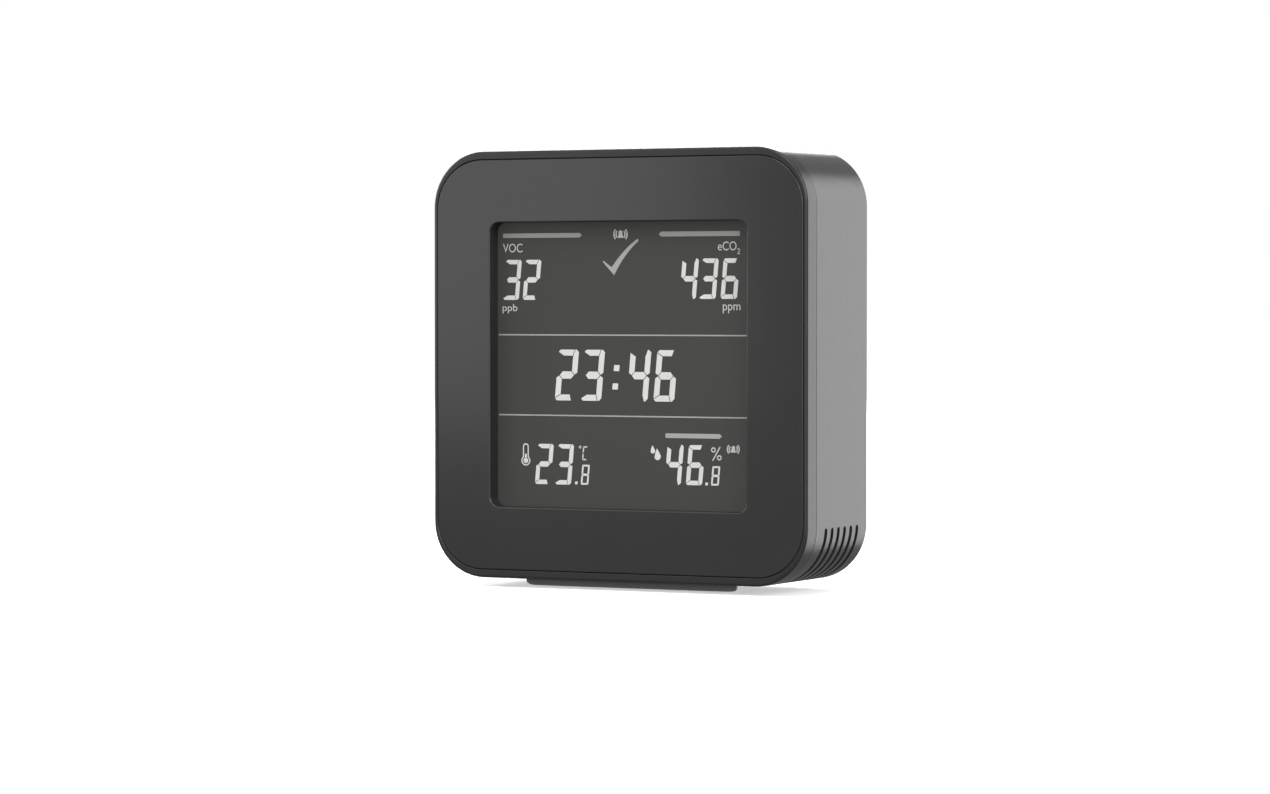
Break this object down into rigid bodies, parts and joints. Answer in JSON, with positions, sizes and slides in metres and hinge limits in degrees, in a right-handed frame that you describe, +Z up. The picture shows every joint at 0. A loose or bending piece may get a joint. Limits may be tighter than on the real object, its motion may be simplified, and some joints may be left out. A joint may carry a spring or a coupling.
{
  "type": "air quality monitor",
  "caption": "Square round-cornered desktop air monitor with a recessed display, curved vent slots, rear keys and power inlet, and a swivelling tapered foot plate.",
  "frame": {"origin": "on the resting plane, under the middle of the case, on the foot's pivot axis", "axes": "+Z up, the display faces -Y, +X to the right as seen from the front"},
  "size_m": [0.092, 0.0324, 0.097],
  "materials": {
    "case_plastic": "satin dark grey",
    "panel_gloss": "glossy dark grey",
    "display_glass": "dark display glass under a polariser",
    "white_plastic": "white moulded",
    "black_plastic": "black moulded",
    "circuit_board": "green solder mask",
    "steel": "plated",
    "rubber": "matte",
    "foam": "open-cell foam or adhesive tape",
    "battery_wrap": "foil pouch",
    "red_insulation": "wire insulation",
    "ribbon_film": "flat cable film"
  },
  "bodies": {
    "case": {"front_frame": "case_plastic", "front_panel": "panel_gloss", "panel_tape": "foam", "display_gasket": "foam", "lcd_front_glass": "display_glass", "lcd_rear_glass": "display_glass", "backlight_tray": "white_plastic", "light_guide": "white_plastic", "backlight_led_bar": "white_plastic", "zebra_strip": "rubber", "display_board": "circuit_board", "driver_chip": "black_plastic", "display_screw_1": "steel", "display_screw_2": "steel", "display_screw_3": "steel", "display_screw_4": "steel", "rear_housing": "case_plastic", "case_screw_1": "steel", "case_screw_2": "steel", "case_screw_3": "steel", "case_screw_4": "steel", "main_board": "circuit_board", "processor_chip": "black_plastic", "gas_sensor": "steel", "humidity_sensor": "white_plastic", "buzzer": "black_plastic", "board_screw_1": "steel", "board_screw_2": "steel", "board_screw_3": "steel", "board_screw_4": "steel", "battery_pad": "foam", "battery": "battery_wrap", "battery_socket": "white_plastic", "battery_plug": "white_plastic", "battery_lead_red": "red_insulation", "battery_lead_black": "black_plastic", "ribbon_socket_front": "white_plastic", "ribbon_socket_rear": "white_plastic", "ribbon_cable": "ribbon_film", "usb_socket": "steel", "usb_tongue": "black_plastic", "button_switch_1": "black_plastic", "button_switch_2": "black_plastic", "button_switch_3": "black_plastic", "button_switch_4": "black_plastic"},
    "foot": {"foot_plate": "case_plastic", "foot_pad": "rubber", "foot_washer": "steel", "foot_screw": "steel"},
    "key_1": {"button_1": "case_plastic", "button_plunger_1": "black_plastic"},
    "key_2": {"button_2": "case_plastic", "button_plunger_2": "black_plastic"},
    "key_3": {"button_3": "case_plastic", "button_plunger_3": "black_plastic"},
    "key_4": {"button_4": "case_plastic", "button_plunger_4": "black_plastic"}
  },
  "joints": [
    {"name": "foot_swivel", "type": "hinge", "parent": "case", "child": "foot", "pos_m": [0, 0, 0.001], "axis": [0, 0, 1], "range_deg": [0, 90]},
    {"name": "key_1_press", "type": "slide", "parent": "case", "child": "key_1", "axis": [0, -1, 0], "range_m": [0, 0.0005], "stiffness_N_per_m": 3000},
    {"name": "key_2_press", "type": "slide", "parent": "case", "child": "key_2", "axis": [0, -1, 0], "range_m": [0, 0.0005], "stiffness_N_per_m": 3000},
    {"name": "key_3_press", "type": "slide", "parent": "case", "child": "key_3", "axis": [0, -1, 0], "range_m": [0, 0.0005], "stiffness_N_per_m": 3000},
    {"name": "key_4_press", "type": "slide", "parent": "case", "child": "key_4", "axis": [0, -1, 0], "range_m": [0, 0.0005], "stiffness_N_per_m": 3000}
  ]
}
